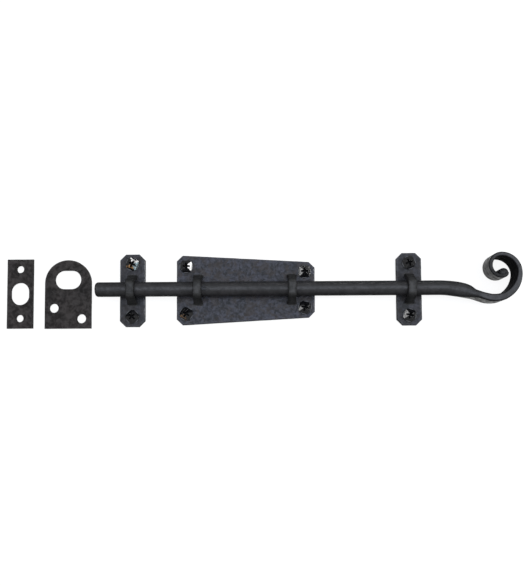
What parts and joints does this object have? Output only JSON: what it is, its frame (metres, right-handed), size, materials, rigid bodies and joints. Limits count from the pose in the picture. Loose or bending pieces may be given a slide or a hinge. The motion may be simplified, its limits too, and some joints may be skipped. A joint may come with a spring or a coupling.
{
  "type": "surface slide bolt",
  "caption": "Surface-mounted door bolt: a round rod with a scroll handle slides through strapped plates and guides held by screws, with flat strikes for its tip.",
  "frame": {"origin": "middle of the main plate's back face, on the door, under the bolt's axis", "axes": "+X along the bolt, from the tip to the scroll handle; +Z out of the door; +Y towards the side that the scroll curls to"},
  "size_m": [0.3683, 0.0536, 0.0393],
  "materials": {
    "plate_iron": "mottled satin black on hammered iron",
    "strap_iron": "satin black, slightly brown on the bends",
    "bolt_iron": "satin black, smoother than the plates",
    "screw_black": "glossy black",
    "pin_steel": "satin black oxide",
    "spring_steel": "blued spring steel",
    "rivet_iron": "satin black"
  },
  "bodies": {
    "plates": {"mortise_strike": "plate_iron", "universal_strike": "plate_iron", "front_guide_plate": "plate_iron", "main_plate": "plate_iron", "rear_guide_plate": "plate_iron", "front_guide_strap": "strap_iron", "main_strap_front": "strap_iron", "main_strap_rear": "strap_iron", "rear_guide_strap": "strap_iron", "friction_spring": "spring_steel", "spring_rivet": "rivet_iron", "front_guide_screw_upper": "screw_black", "front_guide_screw_lower": "screw_black", "main_plate_screw_front_upper": "screw_black", "main_plate_screw_front_lower": "screw_black", "main_plate_screw_rear_upper": "screw_black", "main_plate_screw_rear_lower": "screw_black", "rear_guide_screw_upper": "screw_black", "rear_guide_screw_lower": "screw_black"},
    "bolt": {"sliding_bolt": "bolt_iron", "stop_pin": "pin_steel"}
  },
  "joints": [
    {"name": "bolt_slide", "type": "slide", "parent": "plates", "child": "bolt", "axis": [1, 0, 0], "range_m": [0, 0.058]}
  ]
}
